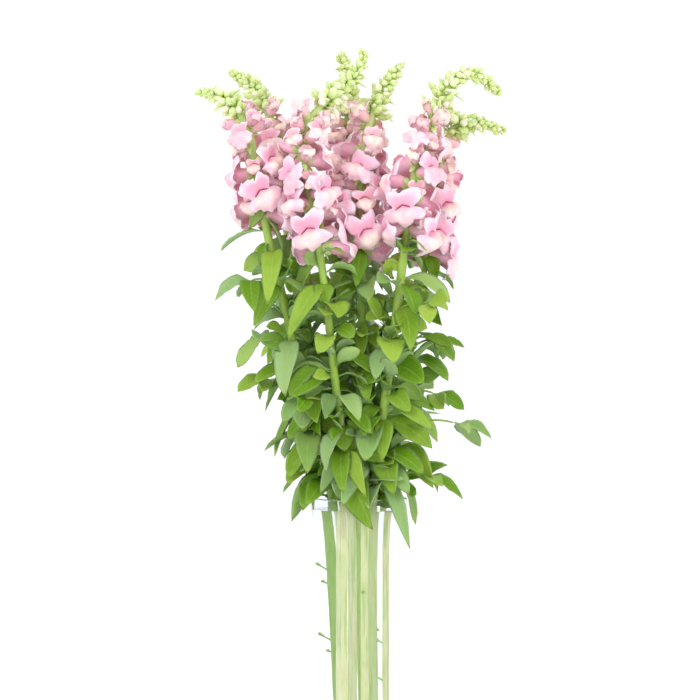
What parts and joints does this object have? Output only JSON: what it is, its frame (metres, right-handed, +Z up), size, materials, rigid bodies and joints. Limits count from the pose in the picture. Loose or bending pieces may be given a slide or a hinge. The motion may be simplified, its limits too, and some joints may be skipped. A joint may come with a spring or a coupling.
{
  "type": "snapdragon stems in a vase",
  "caption": "Tall cut snapdragons with pink two-lipped florets, green bud tips and drooping leaves, standing in a clear glass cylinder vase of water.",
  "frame": {"origin": "centre of the vase's foot, on the surface that it stands on", "axes": "+Z up along the vase's axis, -Y towards the viewer in front of the bunch, +X to the viewer's right"},
  "size_m": [0.3154, 0.2141, 0.7237],
  "materials": {
    "glass": "gloss",
    "water": "gloss",
    "leaf": "satin",
    "petal": "matte"
  },
  "bodies": {
    "root": {"vase": "glass", "water": "water", "stem_far_left": "leaf", "stem_left": "leaf", "stem_bent": "leaf", "stem_centre_back": "leaf", "stem_centre": "leaf", "stem_right": "leaf", "stem_far_right": "leaf", "bloom_far_left": "petal", "bloom_left": "petal", "bloom_bent": "petal", "bloom_centre_back": "petal", "bloom_centre": "petal", "bloom_right": "petal", "bloom_far_right": "petal"}
  },
  "joints": []
}
